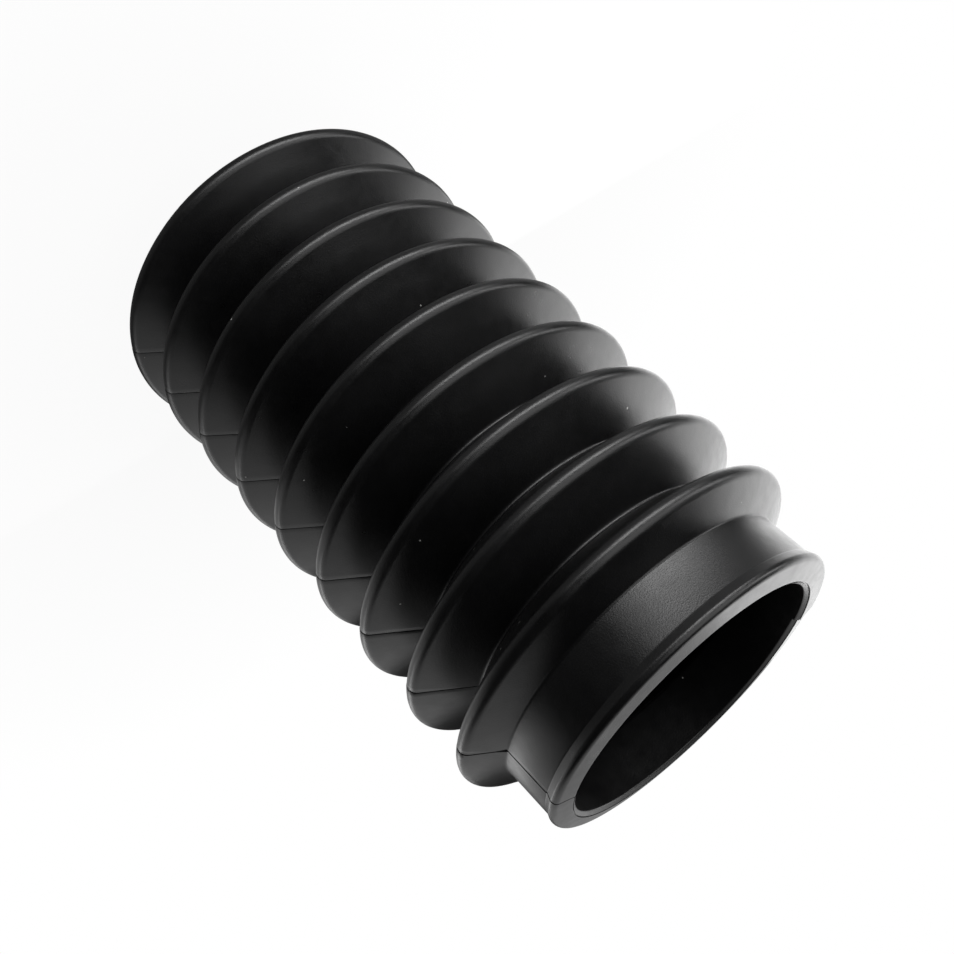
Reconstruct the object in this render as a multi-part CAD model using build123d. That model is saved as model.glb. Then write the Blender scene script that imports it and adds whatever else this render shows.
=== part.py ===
from build123d import *
import math
import os

# A rubber bellows boot, moulded in one piece. It stands on its small end: a plain tail
# cuff, nine convolutions of one size, and above them a wide mouth cuff whose lip carries
# a rounded bead. The section is one closed outline, turned about the axis.
# The origin is the centre of the tail's end face, and +Z runs up the axis to the mouth.

# Convolutions
convolution_count = 9
pitch = 14.6                # from crest to crest
root_diameter = 58.8        # outside, at the bottom of the folds
fold_depth = 10.6           # from the root out to the crest
wall = 1.5
crest_fold_radius = 0.3     # inside the crest, where the wall turns back on itself
root_fold_radius = 0.5      # outside the root

# Mouth cuff, at the top
mouth_bore = 56.6
mouth_wall = 4.9
mouth_cuff_length = 13.3    # from the last flank to the lip's inner edge
mouth_neck_round = 0.6      # where the last flank meets the cuff
lip_slope_drop = 0.68       # the end face falls away by this much towards the outside
lip_inner_round = 0.1
lip_edge_round = 1.0        # where the end face turns down onto the bead
lip_edge_inset = 0.18       # the bead narrows by this much up to the lip
bead_rise = 0.58            # bead over the cuff
bead_top_below_lip = 1.85
bead_length = 3.35          # from the lip's inner edge to the back of the bead
bead_round = 0.8
bead_back_round = 0.6

# Fine groove round the mouth, and the narrow land that slopes from it into the bore
groove_width = 0.3
groove_depth = 0.35         # below the lip's inner edge
land_width = 0.7
land_drop = 0.12            # beside the groove, the land lies this far below the lip's inner edge
land_slope_drop = 0.5       # the land falls by this much towards the bore
land_round = 0.3            # where the land turns down into the bore

# Tail cuff, at the bottom
tail_bore = 44.0
tail_wall = 3.0
tail_cuff_length = 6.5      # from the end face to the first flank
tail_neck_round = 1.0
tail_end_round = 0.4

# Where a flank meets a bore inside
bore_edge_round = 0.5


def flank_lean():
    """Angle between a flank and the radial direction: it touches a crest's and a root's round."""
    rounds = crest_fold_radius + wall + root_fold_radius
    rise = fold_depth - rounds
    reach = math.hypot(pitch / 2, rise)
    return math.acos(rounds / reach) - math.atan2(rise, pitch / 2)


lean = flank_lean()
crest_round = crest_fold_radius + wall
root_round = root_fold_radius + wall
point_excess = 1 / math.sin(lean) - 1

# Sharp corners of the folds before they are rounded: outside, then inside by one wall
crest_point = root_diameter / 2 + fold_depth + crest_round * point_excess
root_point = root_diameter / 2 - root_fold_radius * point_excess
inner_crest_point = crest_point - wall / math.sin(lean)
inner_root_point = root_point - wall / math.sin(lean)

# Radii of the cuffs
mouth_bore_radius = mouth_bore / 2
mouth_cuff_radius = mouth_bore_radius + mouth_wall
groove_inner_radius = mouth_bore_radius + land_width
groove_outer_radius = groove_inner_radius + groove_width
bead_radius = mouth_cuff_radius + bead_rise
lip_edge_radius = bead_radius - lip_edge_inset
tail_bore_radius = tail_bore / 2
tail_cuff_radius = tail_bore_radius + tail_wall

# Heights up the axis
first_crest_height = tail_cuff_length + (crest_point - tail_cuff_radius) * math.tan(lean)
crest_heights = [first_crest_height + number * pitch for number in range(convolution_count)]
last_crest_height = crest_heights[-1]
neck_height = last_crest_height + (crest_point - mouth_cuff_radius) * math.tan(lean)
mouth_height = neck_height + mouth_cuff_length
mouth_bore_foot = last_crest_height + (inner_crest_point - mouth_bore_radius) * math.tan(lean)
tail_bore_head = first_crest_height - (inner_crest_point - tail_bore_radius) * math.tan(lean)


def folds(crest, root, crest_radius, root_radius):
    """Corners (radius, height, round) of the zigzag of one face of the wall, from the bottom up."""
    corners = []
    for height in crest_heights:
        corners.append((crest, height, crest_radius))
        if height < last_crest_height:
            corners.append((root, height + pitch / 2, root_radius))
    return corners


def outside():
    """Outer face of the boot, from the tail's end face up to the lip's edge."""
    return [
        (tail_cuff_radius, 0, tail_end_round),
        (tail_cuff_radius, tail_cuff_length, tail_neck_round),
        *folds(crest_point, root_point, crest_round, root_fold_radius),
        (mouth_cuff_radius, neck_height, mouth_neck_round),
        (mouth_cuff_radius, mouth_height - bead_length, bead_back_round),
        (bead_radius, mouth_height - bead_top_below_lip, bead_round),
        (lip_edge_radius, mouth_height - lip_slope_drop, lip_edge_round),
    ]


def mouth_edge():
    """Edge of the mouth, from the lip's inner edge across the groove and the land to the bore."""
    groove_floor = mouth_height - groove_depth
    land_height = mouth_height - land_drop
    return [
        (groove_outer_radius, mouth_height, lip_inner_round),
        (groove_outer_radius, groove_floor, 0),
        (groove_inner_radius, groove_floor, 0),
        (groove_inner_radius, land_height, 0),
        (mouth_bore_radius, land_height - land_slope_drop, land_round),
    ]


def inside():
    """Inner face of the boot, from the lip's inner edge down to the tail's end face."""
    inner_folds = folds(inner_crest_point, inner_root_point, crest_fold_radius, root_round)
    return [
        *mouth_edge(),
        (mouth_bore_radius, mouth_bore_foot, bore_edge_round),
        *reversed(inner_folds),
        (tail_bore_radius, tail_bore_head, bore_edge_round),
        (tail_bore_radius, 0, tail_end_round),
    ]


def bellows_boot():
    """The whole boot: its section turned about the axis."""
    corners = outside() + inside()
    points = [(radius, 0, height) for radius, height, _ in corners]
    rounds = [corner_round for _, _, corner_round in corners]
    section = make_face(FilletPolyline(*points, radius=rounds, close=True))
    return revolve(section, axis=Axis.Z)


os.makedirs("parts", exist_ok=True)
export_step(bellows_boot(), "parts/bellows_boot.step")
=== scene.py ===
import logging
import math
from dataclasses import dataclass, field
from enum import Enum

import bmesh
import bpy
from mathutils import Matrix, Vector, noise


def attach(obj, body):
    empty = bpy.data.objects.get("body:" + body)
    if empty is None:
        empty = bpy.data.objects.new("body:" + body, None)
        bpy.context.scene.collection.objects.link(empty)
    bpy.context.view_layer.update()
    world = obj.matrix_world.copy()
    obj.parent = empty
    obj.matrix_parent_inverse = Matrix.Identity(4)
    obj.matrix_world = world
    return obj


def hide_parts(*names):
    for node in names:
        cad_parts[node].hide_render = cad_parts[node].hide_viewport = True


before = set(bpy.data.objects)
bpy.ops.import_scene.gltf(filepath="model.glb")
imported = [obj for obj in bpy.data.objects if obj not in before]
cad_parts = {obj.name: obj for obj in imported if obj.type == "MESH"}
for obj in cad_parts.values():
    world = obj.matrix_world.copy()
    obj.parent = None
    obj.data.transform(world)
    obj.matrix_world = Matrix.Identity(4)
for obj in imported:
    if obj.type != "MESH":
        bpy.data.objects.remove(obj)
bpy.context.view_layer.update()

# Looks of a moulded black rubber bellows boot that stands on its tail cuff. One mesh takes
# the place of the CAD solid: it has the same section, and also the mould's two parting lines
# and the slight unevenness of moulded rubber. Section sizes are in millimetres.

BOOT_NODE = "bellows_boot"
BOOT_BODY = "root"
MM = 0.001

log = logging.getLogger("bellows_boot")


@dataclass(frozen=True)
class Corner:
    """Corner of the section before it is rounded, in millimetres."""

    radius: float
    height: float
    round: float = 0.0

    def point(self) -> Vector:
        """Returns the corner's place in the XZ plane, in metres."""
        return Vector((self.radius, 0, self.height)) * MM


class WallFace(Enum):
    """Face of the boot's wall."""

    OUTER = "outer"
    INNER = "inner"


@dataclass(frozen=True)
class Folds:
    """Convolutions of one size, with a wall of one thickness."""

    count: int = 9
    pitch: float = 14.6
    root_diameter: float = 58.8
    depth: float = 10.6
    wall: float = 1.5
    crest_fold_radius: float = 0.3
    root_fold_radius: float = 0.5

    @property
    def lean(self) -> float:
        """Angle between a flank and the radial direction."""
        rounds = self.crest_fold_radius + self.wall + self.root_fold_radius
        rise = self.depth - rounds
        reach = math.hypot(self.pitch / 2, rise)
        return math.acos(rounds / reach) - math.atan2(rise, self.pitch / 2)

    @property
    def crest_point(self) -> float:
        """Radius at which the outer flanks would meet over a crest."""
        crest_round = self.crest_fold_radius + self.wall
        return self.root_diameter / 2 + self.depth + crest_round * (1 / math.sin(self.lean) - 1)

    @property
    def root_point(self) -> float:
        """Radius at which the outer flanks would meet under a root."""
        return self.root_diameter / 2 - self.root_fold_radius * (1 / math.sin(self.lean) - 1)

    @property
    def wall_shift(self) -> float:
        """Radial distance between the outer and the inner meeting points."""
        return self.wall / math.sin(self.lean)

    def zigzag(self, first_crest: float, face: WallFace) -> list[Corner]:
        """Corners of one face of the folded wall, from the bottom up.

        Args:
            first_crest: Height of the lowest crest.
            face: The face that the corners are on.

        Returns:
            The corners, crest and root by turns, from the lowest crest to the highest.
        """
        inner = face is WallFace.INNER
        shift = self.wall_shift if inner else 0.0
        crest_round = self.crest_fold_radius + (0.0 if inner else self.wall)
        root_round = self.root_fold_radius + (self.wall if inner else 0.0)
        corners = []
        for number in range(self.count):
            height = first_crest + number * self.pitch
            corners.append(Corner(self.crest_point - shift, height, crest_round))
            if number < self.count - 1:
                corners.append(Corner(self.root_point - shift, height + self.pitch / 2, root_round))
        return corners


@dataclass(frozen=True)
class Mouth:
    """Wide cuff at the top, with a beaded lip and a fine groove round its bore."""

    bore: float = 56.6
    wall: float = 4.9
    cuff_length: float = 13.3
    neck_round: float = 0.6
    lip_slope_drop: float = 0.68
    lip_inner_round: float = 0.1
    lip_edge_round: float = 1.0
    lip_edge_inset: float = 0.18
    bead_rise: float = 0.58
    bead_top_below_lip: float = 1.85
    bead_length: float = 3.35
    bead_round: float = 0.8
    bead_back_round: float = 0.6
    groove_width: float = 0.3
    groove_depth: float = 0.35
    land_width: float = 0.7
    land_drop: float = 0.12
    land_slope_drop: float = 0.5
    land_round: float = 0.3

    @property
    def cuff_radius(self) -> float:
        """Outer radius of the cuff."""
        return self.bore / 2 + self.wall


@dataclass(frozen=True)
class Tail:
    """Small plain cuff at the bottom, on which the boot stands."""

    bore: float = 44.0
    wall: float = 3.0
    cuff_length: float = 6.5
    neck_round: float = 1.0
    end_round: float = 0.4

    @property
    def cuff_radius(self) -> float:
        """Outer radius of the cuff."""
        return self.bore / 2 + self.wall


@dataclass(frozen=True)
class Section:
    """Closed outline of the boot's wall, in the XZ plane."""

    folds: Folds = field(default_factory=Folds)
    mouth: Mouth = field(default_factory=Mouth)
    tail: Tail = field(default_factory=Tail)
    bore_edge_round: float = 0.5
    notch_length: float = 2.0       # along the last flank, from the foot of the mouth's cuff

    @property
    def slope(self) -> float:
        """Height that a flank climbs for each millimetre of radius."""
        return math.tan(self.folds.lean)

    @property
    def first_crest(self) -> float:
        """Height of the lowest crest."""
        return self.tail.cuff_length + (self.folds.crest_point - self.tail.cuff_radius) * self.slope

    @property
    def last_crest(self) -> float:
        """Height of the highest crest."""
        return self.first_crest + (self.folds.count - 1) * self.folds.pitch

    @property
    def neck(self) -> float:
        """Height at which the last flank meets the mouth's cuff."""
        return self.last_crest + (self.folds.crest_point - self.mouth.cuff_radius) * self.slope

    @property
    def top(self) -> float:
        """Height of the lip's inner edge."""
        return self.neck + self.mouth.cuff_length

    def outside(self) -> list[Corner]:
        """Returns the corners of the outer face, from the tail's end up to the lip's edge."""
        mouth, tail = self.mouth, self.tail
        bead = mouth.cuff_radius + mouth.bead_rise
        return [
            Corner(tail.cuff_radius, 0, tail.end_round),
            Corner(tail.cuff_radius, tail.cuff_length, tail.neck_round),
            *self.folds.zigzag(self.first_crest, WallFace.OUTER),
            self.notch_start(),
            Corner(mouth.cuff_radius, self.neck, mouth.neck_round),
            Corner(mouth.cuff_radius, self.top - mouth.bead_length, mouth.bead_back_round),
            Corner(bead, self.top - mouth.bead_top_below_lip, mouth.bead_round),
            Corner(bead - mouth.lip_edge_inset, self.top - mouth.lip_slope_drop, mouth.lip_edge_round),
        ]

    def notch_start(self) -> Corner:
        """Returns the point on the last flank at which the parting line's notch starts."""
        lean = self.folds.lean
        return Corner(self.mouth.cuff_radius + self.notch_length * math.cos(lean),
                      self.neck - self.notch_length * math.sin(lean))

    def mouth_edge(self) -> list[Corner]:
        """Returns the corners from the lip's inner edge over the groove and the land to the bore."""
        mouth = self.mouth
        bore = mouth.bore / 2
        groove_inner = bore + mouth.land_width
        groove_outer = groove_inner + mouth.groove_width
        return [
            Corner(groove_outer, self.top, mouth.lip_inner_round),
            Corner(groove_outer, self.top - mouth.groove_depth),
            Corner(groove_inner, self.top - mouth.groove_depth),
            Corner(groove_inner, self.top - mouth.land_drop),
            Corner(bore, self.top - mouth.land_drop - mouth.land_slope_drop, mouth.land_round),
        ]

    def inside(self) -> list[Corner]:
        """Returns the corners of the inner face, from the mouth down to the tail's end."""
        inner_crest = self.folds.crest_point - self.folds.wall_shift
        mouth_bore, tail_bore = self.mouth.bore / 2, self.tail.bore / 2
        mouth_foot = self.last_crest + (inner_crest - mouth_bore) * self.slope
        tail_head = self.first_crest - (inner_crest - tail_bore) * self.slope
        return [
            Corner(mouth_bore, mouth_foot, self.bore_edge_round),
            *reversed(self.folds.zigzag(self.first_crest, WallFace.INNER)),
            Corner(tail_bore, tail_head, self.bore_edge_round),
            Corner(tail_bore, 0, self.tail.end_round),
        ]

    def corners(self) -> list[Corner]:
        """Returns every corner of the closed outline, in order."""
        return self.outside() + self.mouth_edge() + self.inside()


@dataclass
class SectionPen:
    """Draws a closed outline in a mesh, with a tangent arc at each round corner."""

    mesh: bmesh.types.BMesh
    arc_sag: float = 0.012 * MM   # how far an arc's edges may stand off it
    guard: float = 0.15 * MM      # short edge beside an arc, so that the flank shades flat
    guard_room: float = 4.0       # guards that must fit on an edge before it gets one
    fewest_steps: int = 3         # edges of the shortest arc

    def draw(self, corners: list[Corner]) -> None:
        """Draws the outline.

        Args:
            corners: The outline's corners in order.
        """
        self.mesh.verts.ensure_lookup_table()
        first = None
        pen = None
        for number, corner in enumerate(corners):
            before = corners[number - 1].point()
            after = corners[(number + 1) % len(corners)].point()
            place = corner.point()
            back = (before - place).normalized()
            ahead = (after - place).normalized()
            half_turn = back.angle(ahead) / 2
            reach = corner.round * MM / math.tan(half_turn)
            stops = [place + back * reach]
            if corner.round and (before - place).length > reach + self.guard_room * self.guard:
                stops.insert(0, place + back * (reach + self.guard))
            for stop in stops:
                pen = self.line_to(pen, stop)
                first = first or pen
            if corner.round:
                centre = place + (back + ahead).normalized() * (corner.round * MM / math.sin(half_turn))
                turn = math.pi - 2 * half_turn
                side = -1 if back.cross(ahead).y > 0 else 1
                pen = self.arc(pen, centre, side * turn)
                if (after - place).length > reach + self.guard_room * self.guard:
                    pen = self.line_to(pen, place + ahead * (reach + self.guard))
        bmesh.ops.contextual_create(self.mesh, geom=[pen, first])

    def line_to(self, pen: bmesh.types.BMVert | None, stop: Vector) -> bmesh.types.BMVert:
        """Draws a straight edge.

        Args:
            pen: Where the pen is, or None before the first point.
            stop: Where the edge ends.

        Returns:
            The vertex at the end of the edge.
        """
        if pen is None:
            return bmesh.ops.create_vert(self.mesh, co=stop)["vert"][0]
        drawn = bmesh.ops.extrude_vert_indiv(self.mesh, verts=[pen])["verts"][0]
        bmesh.ops.translate(self.mesh, verts=[drawn], vec=stop - pen.co)
        return drawn

    def arc(self, pen: bmesh.types.BMVert, centre: Vector, angle: float) -> bmesh.types.BMVert:
        """Draws an arc in the XZ plane.

        Args:
            pen: Where the pen is.
            centre: The arc's centre.
            angle: The angle to turn about +Y, in radians.

        Returns:
            The vertex at the end of the arc.
        """
        radius = (pen.co - centre).length
        step = 2 * math.acos(1 - self.arc_sag / radius)
        steps = max(self.fewest_steps, math.ceil(abs(angle) / step))
        spun = bmesh.ops.spin(self.mesh, geom=[pen], cent=centre, axis=(0, 1, 0), angle=angle, steps=steps)
        return next(item for item in spun["geom_last"] if isinstance(item, bmesh.types.BMVert))


@dataclass(frozen=True)
class RubberFinish:
    """Matte black moulded rubber, with a fine grain, faint bloom and a little dust."""

    name: str = "black_rubber"
    black: tuple[float, float, float, float] = (0.002, 0.002, 0.0022, 1)
    bloom: tuple[float, float, float, float] = (0.005, 0.005, 0.0053, 1)
    dust: tuple[float, float, float, float] = (0.42, 0.42, 0.41, 1)
    bloom_range: tuple[float, float] = (0.35, 0.7)      # of the cloud pattern, from black to bloom
    roughness: tuple[float, float] = (0.25, 0.39)
    specular: float = 0.5
    grain_mm: float = 0.27
    mottle_mm: float = 2.4
    cloud_mm: float = 22.0
    fine_detail: float = 3.0        # finer layers in the grain and the clouds
    mottle_detail: float = 2.0
    grain_height: float = 0.045 * MM
    bump_strength: float = 0.6
    dust_height: float = 4.0        # times the grain's height
    dust_cell_mm: float = 4.2
    dust_share: float = 0.4
    dust_size: float = 0.065

    def material(self) -> bpy.types.Material:
        """Returns the finish as a node material that reads Object coordinates."""
        made = bpy.data.materials.new(self.name)
        made.use_nodes = True
        graph = NodeGraph(made.node_tree)
        shader = graph.node("Principled BSDF")
        shader.inputs["Specular IOR Level"].default_value = self.specular
        place = graph.add("ShaderNodeTexCoord").outputs["Object"]
        grain = graph.noise(place, self.grain_mm, self.fine_detail)
        mottle = graph.noise(place, self.mottle_mm, self.mottle_detail)
        cloud = graph.noise(place, self.cloud_mm, self.fine_detail)
        dust = self.dust_mask(graph, place)
        worn = graph.blend(cloud, self.black, self.bloom, *self.bloom_range)
        colour = graph.mix_colour(dust, worn, self.dust)
        graph.link(colour, shader.inputs["Base Color"])
        rough = graph.scale(graph.math("ADD", mottle, cloud), 0.5, 1.5, *self.roughness)
        graph.link(graph.math("MAXIMUM", rough, dust), shader.inputs["Roughness"])
        bump = graph.add("ShaderNodeBump")
        bump.inputs["Strength"].default_value = self.bump_strength
        bump.inputs["Distance"].default_value = self.grain_height
        specks = graph.math("MULTIPLY", dust, self.dust_height)
        graph.link(graph.math("ADD", grain, specks), bump.inputs["Height"])
        graph.link(bump.outputs["Normal"], shader.inputs["Normal"])
        return made

    def dust_mask(self, graph: "NodeGraph", place: bpy.types.NodeSocket) -> bpy.types.NodeSocket:
        """Makes the mask of the dust specks.

        Args:
            graph: The material's nodes.
            place: Object coordinates.

        Returns:
            A socket that is 1 on a speck and 0 elsewhere.
        """
        cells = graph.add("ShaderNodeTexVoronoi")
        cells.inputs["Scale"].default_value = 1 / (self.dust_cell_mm * MM)
        graph.link(place, cells.inputs["Vector"])
        pick = graph.add("ShaderNodeSeparateColor")
        graph.link(cells.outputs["Color"], pick.inputs["Color"])
        chosen = graph.math("LESS_THAN", pick.outputs["Red"], self.dust_share)
        reach = graph.math("MULTIPLY", pick.outputs["Green"], self.dust_size)
        inside = graph.math("LESS_THAN", cells.outputs["Distance"], reach)
        return graph.math("MULTIPLY", chosen, inside)


@dataclass(frozen=True)
class NodeGraph:
    """Short ways to add nodes to a node tree."""

    tree: bpy.types.NodeTree

    def node(self, name: str) -> bpy.types.Node:
        """Returns the node of that name, which the tree already has."""
        return self.tree.nodes[name]

    def add(self, kind: str) -> bpy.types.Node:
        """Returns a new node of that kind."""
        return self.tree.nodes.new(kind)

    def link(self, source: bpy.types.NodeSocket, target: bpy.types.NodeSocket) -> None:
        """Links an output to an input."""
        self.tree.links.new(source, target)

    def feed(self, value: bpy.types.NodeSocket | float, target: bpy.types.NodeSocket) -> None:
        """Links a socket to an input, or sets the input to a number."""
        if isinstance(value, bpy.types.NodeSocket):
            self.link(value, target)
        else:
            target.default_value = value

    def math(self, operation: str, first: bpy.types.NodeSocket | float,
             second: bpy.types.NodeSocket | float) -> bpy.types.NodeSocket:
        """Adds a Math node.

        Args:
            operation: The node's operation.
            first: The first value or socket.
            second: The second value or socket.

        Returns:
            The result's socket.
        """
        made = self.add("ShaderNodeMath")
        made.operation = operation
        self.feed(first, made.inputs[0])
        self.feed(second, made.inputs[1])
        return made.outputs[0]

    def noise(self, place: bpy.types.NodeSocket, size_mm: float, detail: float) -> bpy.types.NodeSocket:
        """Adds a noise pattern.

        Args:
            place: The coordinates that the pattern follows.
            size_mm: The size of its largest lumps.
            detail: How many finer layers it has.

        Returns:
            The pattern's socket, from 0 to 1.
        """
        made = self.add("ShaderNodeTexNoise")
        made.inputs["Scale"].default_value = 1 / (size_mm * MM)
        made.inputs["Detail"].default_value = detail
        self.link(place, made.inputs["Vector"])
        return made.outputs["Fac"]

    def scale(self, value: bpy.types.NodeSocket, low: float, high: float,
              new_low: float, new_high: float) -> bpy.types.NodeSocket:
        """Adds a Map Range node.

        Args:
            value: The value to map.
            low: The value that becomes new_low.
            high: The value that becomes new_high.
            new_low: The lowest result.
            new_high: The highest result.

        Returns:
            The result's socket.
        """
        made = self.add("ShaderNodeMapRange")
        self.link(value, made.inputs["Value"])
        limits = (("From Min", low), ("From Max", high), ("To Min", new_low), ("To Max", new_high))
        for name, number in limits:
            made.inputs[name].default_value = number
        return made.outputs["Result"]

    def blend(self, value: bpy.types.NodeSocket, start: tuple, end: tuple,
              low: float, high: float) -> bpy.types.NodeSocket:
        """Blends two colours by a pattern.

        Args:
            value: The pattern.
            start: The colour at low.
            end: The colour at high.
            low: The pattern's value at which the blend starts.
            high: The pattern's value at which it ends.

        Returns:
            The colour's socket.
        """
        made = self.add("ShaderNodeValToRGB")
        made.color_ramp.elements[0].position = low
        made.color_ramp.elements[0].color = start
        made.color_ramp.elements[1].position = high
        made.color_ramp.elements[1].color = end
        self.link(value, made.inputs["Fac"])
        return made.outputs["Color"]

    def mix_colour(self, amount: bpy.types.NodeSocket, base: bpy.types.NodeSocket,
                   over: tuple) -> bpy.types.NodeSocket:
        """Lays a colour over another.

        Args:
            amount: How much of the upper colour shows.
            base: The colour below.
            over: The colour above.

        Returns:
            The colour's socket.
        """
        made = self.add("ShaderNodeMix")
        made.data_type = "RGBA"
        self.link(amount, made.inputs["Factor"])
        self.link(base, made.inputs["A"])
        made.inputs["B"].default_value = over
        return made.outputs["Result"]


@dataclass(frozen=True)
class PartingLine:
    """Line that the two halves of the mould leave on the outside, at +X and -X.

    It wanders a little, is deepest near the mouth, and ends in a small notch at the foot of
    the mouth's cuff.
    """

    width: float = math.radians(0.5)
    depth: float = 0.13 * MM
    faint_share: float = 0.3        # of the depth, on the lower folds
    faint_mm: tuple[float, float] = (85.0, 128.0)   # the line deepens between these heights
    columns: int = 4
    mismatch: float = 0.05 * MM     # one half of the mould sits this far along +X
    wander: float = math.radians(0.7)
    wander_length: float = 5 * MM
    wander_reach: float = math.radians(7)   # how far to each side the columns follow the line
    notch_width: float = 3.6        # times the line's own width, at the foot of the mouth's cuff
    notch_depth: float = 3.5        # times the line's own depth there
    notch_margin: float = 0.1 * MM  # over the foot of the cuff, where the notch ends
    edge_margin: float = 0.01       # of half the width, so that the line's outer columns are told apart
    side_margin: float = 1e-6       # of the radius, so that the columns at Y = 0 stay in the first half
    inner_facing: float = -0.02     # faces that look inwards by more than this are the boot's inside


@dataclass
class BellowsBoot:
    """The boot: its section turned about the axis, with the marks that its mould left."""

    section: Section = field(default_factory=Section)
    parting: PartingLine = field(default_factory=PartingLine)
    finish: RubberFinish = field(default_factory=RubberFinish)
    half_columns: int = 92
    seam_gap: float = 0.001 * MM    # vertices nearer than this are one
    swell: float = 0.05 * MM        # unevenness of the moulded surface
    swell_length: float = 17 * MM
    calm_length: float = 8 * MM     # over which the swells fade out towards both ends
    lip_shift: float = 0.6 * MM     # the bead sits this far off the axis
    lip_azimuth: float = math.radians(213)
    lip_drop: float = 0.45 * MM     # how far the +Y half of the lip sinks towards -X
    lip_fade_mm: float = 0.9        # below the bead, over which the shift and the drop fade in
    lip_full_inset_mm: float = 0.6  # the shift is full from this far inside the cuff's face
    lip_side_margin: float = 1e-4   # of the radius, so that the columns at Y = 0 stay up
    sharp_angle: float = math.radians(38)

    def build(self) -> bpy.types.Object:
        """Builds the boot's mesh.

        Returns:
            The boot as an object in the scene.
        """
        shape = bmesh.new()
        SectionPen(shape).draw(self.section.corners())
        self.turn(shape)
        self.mark_parting_lines(shape)
        self.set_lip_uneven(shape)
        self.uneven(shape)
        mesh = bpy.data.meshes.new("boot")
        shape.to_mesh(mesh)
        shape.free()
        mesh.shade_smooth()
        mesh.set_sharp_from_angle(angle=self.sharp_angle)
        made = bpy.data.objects.new("boot", mesh)
        bpy.context.scene.collection.objects.link(made)
        return made

    def turn(self, shape: bmesh.types.BMesh) -> None:
        """Turns the section about the axis, with narrow columns at the parting lines.

        Args:
            shape: The mesh that holds the section.
        """
        narrow = self.parting.width
        start = Matrix.Rotation(-narrow / 2, 3, "Z")
        bmesh.ops.rotate(shape, verts=shape.verts[:], cent=(0, 0, 0), matrix=start)
        geometry = shape.verts[:] + shape.edges[:]
        for _ in range(2):
            for angle, columns in ((narrow, self.parting.columns), (math.pi - narrow, self.half_columns)):
                spun = bmesh.ops.spin(shape, geom=geometry, cent=(0, 0, 0), axis=(0, 0, 1),
                                      angle=angle, steps=columns)
                geometry = spun["geom_last"]
        bmesh.ops.remove_doubles(shape, verts=shape.verts[:], dist=self.seam_gap)
        bmesh.ops.recalc_face_normals(shape, faces=shape.faces[:])
        shape.normal_update()

    def mark_parting_lines(self, shape: bmesh.types.BMesh) -> None:
        """Sinks the two fine lines into the outer face, and shifts one half of the outside.

        Args:
            shape: The mesh of the turned boot.
        """
        parting = self.parting
        for vert in shape.verts:
            out = Vector((vert.co.x, vert.co.y, 0)).normalized()
            if vert.normal.dot(out) < parting.inner_facing:
                continue
            off_line = math.asin(max(-1.0, min(1.0, out.y)))
            if out.x < 0:
                off_line = -off_line
            share = 1 - abs(off_line) / (parting.width / 2)
            notch = self.notch_share(vert.co)
            if share > parting.edge_margin:
                depth = parting.depth * self.line_strength(vert.co.z)
                vert.co -= vert.normal * depth * share * (1 + notch * (parting.notch_depth - 1))
            if out.y > parting.side_margin:
                vert.co.x += parting.mismatch
            near = math.exp(-(off_line / parting.wander_reach) ** 2)
            wave = noise.noise(Vector((vert.co.z / parting.wander_length, out.x, 0)))
            slide = near * wave * parting.wander
            if share > -parting.edge_margin:
                slide += off_line * notch * (parting.notch_width - 1)
            vert.co.rotate(Matrix.Rotation(slide, 3, "Z"))

    def line_strength(self, height: float) -> float:
        """Returns how deep the parting line is at a height, as a share of its full depth."""
        low, high = (limit * MM for limit in self.parting.faint_mm)
        grown = max(0.0, min(1.0, (height - low) / (high - low)))
        return self.parting.faint_share + (1 - self.parting.faint_share) * grown

    def notch_share(self, place: Vector) -> float:
        """Returns 1 at the foot of the mouth's cuff at +X, which falls to 0 where the notch starts."""
        foot = Corner(self.section.mouth.cuff_radius, self.section.neck).point()
        if place.x < 0 or place.z > foot.z + self.parting.notch_margin:
            return 0.0
        away = math.hypot(Vector((place.x, place.y, 0)).length - foot.x, place.z - foot.z)
        return max(0.0, 1 - away / (self.section.notch_length * MM))

    def set_lip_uneven(self, shape: bmesh.types.BMesh) -> None:
        """Slides the bead a little to one side, and lowers one mould half's share of the lip.

        Args:
            shape: The mesh of the turned boot.
        """
        mouth, top = self.section.mouth, self.section.top
        foot = top - mouth.bead_length
        inner = mouth.bore / 2 + mouth.land_width + mouth.groove_width
        slide = Matrix.Rotation(self.lip_azimuth, 3, "Z") @ Vector((self.lip_shift, 0, 0))
        for vert in shape.verts:
            place = Vector((vert.co.x, vert.co.y, 0))
            full = mouth.cuff_radius - self.lip_full_inset_mm - inner
            out = max(0.0, min(1.0, (place.length / MM - inner) / full))
            up = max(0.0, min(1.0, (vert.co.z / MM - foot + self.lip_fade_mm) / self.lip_fade_mm))
            if place.normalized().y > self.lip_side_margin:
                vert.co.z -= self.lip_drop * up * (1 - place.normalized().x) / 2
            vert.co += slide * out * up

    def uneven(self, shape: bmesh.types.BMesh) -> None:
        """Gives the rubber the slight swells of a moulded surface, and leaves both ends flat.

        Args:
            shape: The mesh of the turned boot.
        """
        top = self.section.top * MM
        for vert in shape.verts:
            from_top = max(0.0, top - vert.co.z)
            clear = min(1.0, vert.co.z / self.calm_length, from_top / self.calm_length)
            swell = noise.noise(vert.co / self.swell_length) * self.swell * clear
            vert.co += vert.normal * swell

    def dress(self, made: bpy.types.Object) -> None:
        """Gives the boot its finish and its place in the frame.

        Args:
            made: The boot's object.
        """
        made.data.materials.append(self.finish.material())
        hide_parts(BOOT_NODE)
        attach(made, BOOT_BODY)
        log.info("boot: %d faces, top at %.3f mm", len(made.data.polygons), self.section.top)


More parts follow.
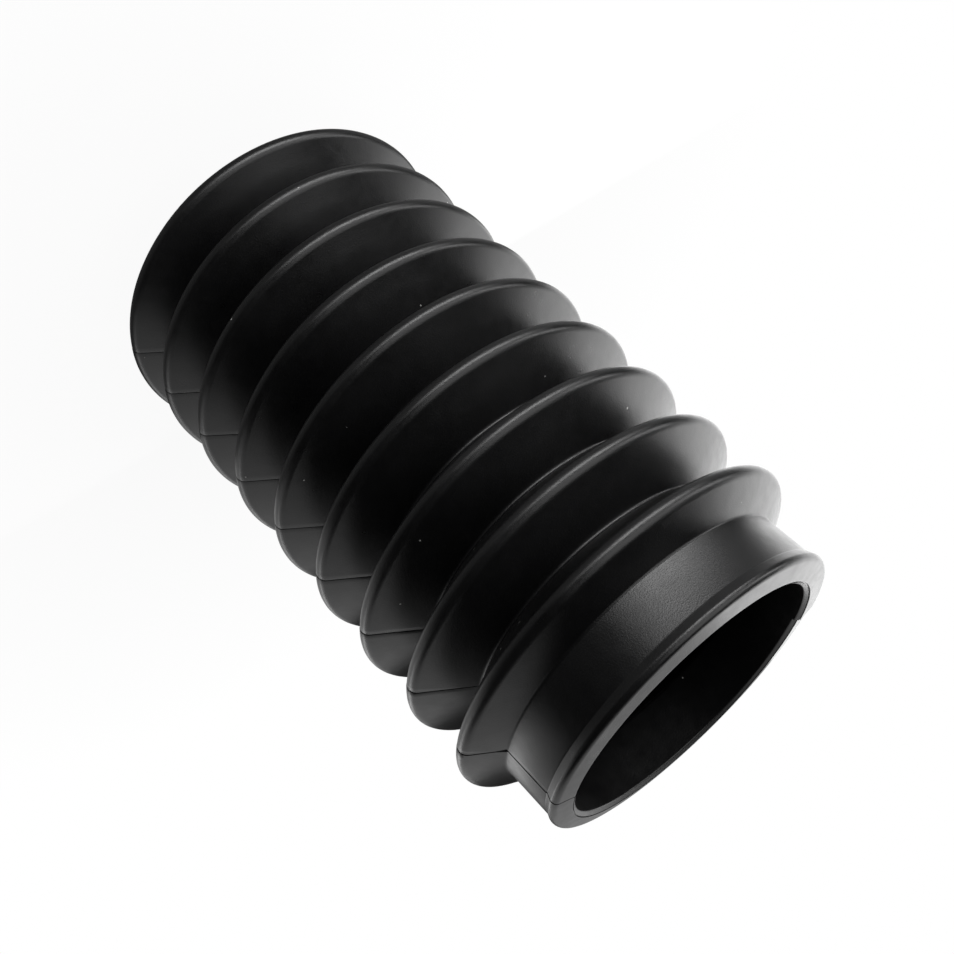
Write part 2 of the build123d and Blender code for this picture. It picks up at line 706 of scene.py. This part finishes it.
@dataclass(frozen=True)
class Viewpoint:
    """Camera in the photograph's place, in the boot's own frame."""

    position_mm: tuple[float, float, float] = (100.30, -177.94, 193.22)
    right: tuple[float, float, float] = (-0.764483, -0.105233, 0.635996)
    up: tuple[float, float, float] = (-0.428924, -0.653468, -0.623702)
    focal_px: float = 1111.7
    centre_px: tuple[float, float] = (523.7, 442.7)
    image_px: int = 954
    sensor_mm: float = 36.0
    clip_m: tuple[float, float] = (0.01, 20.0)

    def place(self) -> None:
        """Makes the camera and gives it to the scene."""
        data = bpy.data.cameras.new("camera")
        data.sensor_width = self.sensor_mm
        data.lens = self.focal_px * self.sensor_mm / self.image_px
        data.shift_x = (self.image_px / 2 - self.centre_px[0]) / self.image_px
        data.shift_y = (self.centre_px[1] - self.image_px / 2) / self.image_px
        data.clip_start, data.clip_end = self.clip_m
        right = Vector(self.right).normalized()
        back = right.cross(Vector(self.up)).normalized()
        turn = Matrix((right, back.cross(right), back)).transposed()
        camera = bpy.data.objects.new("camera", data)
        camera.matrix_world = Matrix.Translation(Vector(self.position_mm) * MM) @ turn.to_4x4()
        bpy.context.scene.collection.objects.link(camera)
        bpy.context.scene.camera = camera
        log.info("camera: lens %.2f mm", data.lens)


@dataclass(frozen=True)
class SoftLamp:
    """Flat soft lamp of even brightness, which the camera doesn't see."""

    name: str
    azimuth: float      # in degrees from +X towards +Y, seen from the point that it faces
    elevation: float    # in degrees over the level of that point
    brightness: float
    size_mm: tuple[float, float]
    distance_mm: float = 700.0
    aim_mm: tuple[float, float, float] = (0.0, 0.0, 75.0)   # the point that it faces

    def place(self) -> None:
        """Makes the lamp, turned to face its point."""
        data = bpy.data.lights.new(self.name, "AREA")
        data.shape = "RECTANGLE"
        data.size = self.size_mm[0] * MM
        data.size_y = self.size_mm[1] * MM
        data.energy = self.brightness * math.pi * data.size * data.size_y
        rise = Matrix.Rotation(-math.radians(self.elevation), 3, "Y")
        towards = Matrix.Rotation(math.radians(self.azimuth), 3, "Z") @ rise @ Vector((1, 0, 0))
        lamp = bpy.data.objects.new(self.name, data)
        lamp.visible_camera = False
        turn = towards.to_track_quat("Z", "Y").to_matrix().to_4x4()
        place = Vector(self.aim_mm) * MM + towards * self.distance_mm * MM
        lamp.matrix_world = Matrix.Translation(place) @ turn
        bpy.context.scene.collection.objects.link(lamp)
        log.info("lamp %s: %.2f W", self.name, data.energy)


@dataclass(frozen=True)
class Studio:
    """Plain pale floor, pale surroundings and soft lamps.

    The three cards stand close behind the boot, where the white table that it lies on in the
    photograph throws light back at it.
    """

    floor_radius_mm: float = 1500.0
    floor_segments: int = 96
    floor_grey: float = 0.3         # how pale the floor is to the boot
    floor_pale: float = 0.9         # how pale it is to the camera
    floor_white: float = 0.94       # share of plain white that the camera sees in the floor by the boot
    shadow_reach_mm: tuple[float, float] = (60.0, 200.0)    # from where to where that share grows to 1
    surroundings: float = 0.02      # how bright the surroundings are to the boot
    lamps: tuple[SoftLamp, ...] = (
        SoftLamp("front_strip", 258.0, 0.0, 7.2, (300.0, 124.0), 380.0, aim_mm=(0.0, 0.0, 62.0)),
        SoftLamp("front_left_strip", 228.0, 0.0, 2.2, (100.0, 124.0), 380.0, aim_mm=(0.0, 0.0, 62.0)),
        SoftLamp("front_right_strip", 288.0, 0.0, 2.8, (100.0, 124.0), 380.0, aim_mm=(0.0, 0.0, 62.0)),
        SoftLamp("front_panel", 257.0, 30.0, 1.6, (780.0, 380.0)),
        SoftLamp("top_panel", 257.0, 54.0, 1.5, (560.0, 190.0)),
        SoftLamp("left_panel", 212.0, 22.0, 3.9, (375.0, 190.0)),
        SoftLamp("right_strip", 57.0, 0.0, 1.45, (290.0, 80.0), 380.0, aim_mm=(0.0, 0.0, 40.0)),
        SoftLamp("back_panel", 150.0, 30.0, 0.6, (1000.0, 300.0)),
        SoftLamp("left_card", 98.0, 0.0, 2.35, (290.0, 326.0), 48.0, aim_mm=(-183.0, -26.0, 165.0)),
        SoftLamp("right_card", 98.0, 0.0, 0.65, (290.0, 148.0), 48.0, aim_mm=(183.0, 26.0, 76.0)),
        SoftLamp("high_card", 98.0, 0.0, 0.65, (150.0, 180.0), 48.0, aim_mm=(35.0, 5.0, 240.0)),
    )

    def build(self) -> None:
        """Makes the floor, the surroundings and the lamps."""
        self.floor()
        self.world()
        for lamp in self.lamps:
            lamp.place()

    def floor(self) -> None:
        """Makes the floor that the boot stands on."""
        shape = bmesh.new()
        bmesh.ops.create_circle(shape, cap_ends=True, radius=self.floor_radius_mm * MM,
                                segments=self.floor_segments)
        mesh = bpy.data.meshes.new("floor")
        shape.to_mesh(mesh)
        shape.free()
        made = bpy.data.objects.new("floor", mesh)
        bpy.context.scene.collection.objects.link(made)
        mesh.materials.append(self.floor_material())

    def floor_material(self) -> bpy.types.Material:
        """Returns the floor's material: pale and matte, and plain white to the camera away from the boot."""
        made = bpy.data.materials.new("floor")
        made.use_nodes = True
        graph = NodeGraph(made.node_tree)
        made.node_tree.nodes.remove(graph.node("Principled BSDF"))
        matte = graph.add("ShaderNodeBsdfDiffuse")
        white = graph.add("ShaderNodeEmission")
        rays = graph.add("ShaderNodeLightPath")
        pale = graph.scale(rays.outputs["Is Camera Ray"], 0.0, 1.0, self.floor_grey, self.floor_pale)
        graph.link(pale, matte.inputs["Color"])
        mix = graph.add("ShaderNodeMixShader")
        length = graph.add("ShaderNodeVectorMath")
        length.operation = "LENGTH"
        graph.link(graph.add("ShaderNodeTexCoord").outputs["Object"], length.inputs[0])
        near, far = (reach * MM for reach in self.shadow_reach_mm)
        plain = graph.scale(length.outputs["Value"], near, far, self.floor_white, 1.0)
        share = graph.math("MULTIPLY", rays.outputs["Is Camera Ray"], plain)
        graph.link(share, mix.inputs["Fac"])
        graph.link(matte.outputs["BSDF"], mix.inputs[1])
        graph.link(white.outputs["Emission"], mix.inputs[2])
        graph.link(mix.outputs["Shader"], graph.node("Material Output").inputs["Surface"])
        return made

    def world(self) -> None:
        """Makes the surroundings: white to the camera, and a soft grey light to the boot."""
        world = bpy.data.worlds.new("surroundings")
        world.use_nodes = True
        bpy.context.scene.world = world
        graph = NodeGraph(world.node_tree)
        back = graph.node("Background")
        back.inputs["Color"].default_value = (1, 1, 1, 1)
        rays = graph.add("ShaderNodeLightPath")
        strength = graph.scale(rays.outputs["Is Camera Ray"], 0.0, 1.0, self.surroundings, 1.0)
        graph.link(strength, back.inputs["Strength"])


def clear_default_scene() -> None:
    """Removes the cube, the camera and the lamp that Blender starts with."""
    for name in ("Cube", "Camera", "Light"):
        if name in bpy.data.objects:
            bpy.data.objects.remove(bpy.data.objects[name])


def main() -> None:
    """Builds the boot, the camera and the studio, in that order."""
    logging.basicConfig(level=logging.INFO, format="%(message)s")
    clear_default_scene()
    boot = BellowsBoot()
    boot.dress(boot.build())
    Viewpoint().place()
    Studio().build()
    bpy.context.scene.view_settings.view_transform = "Standard"


if __name__ == "__main__":
    main()
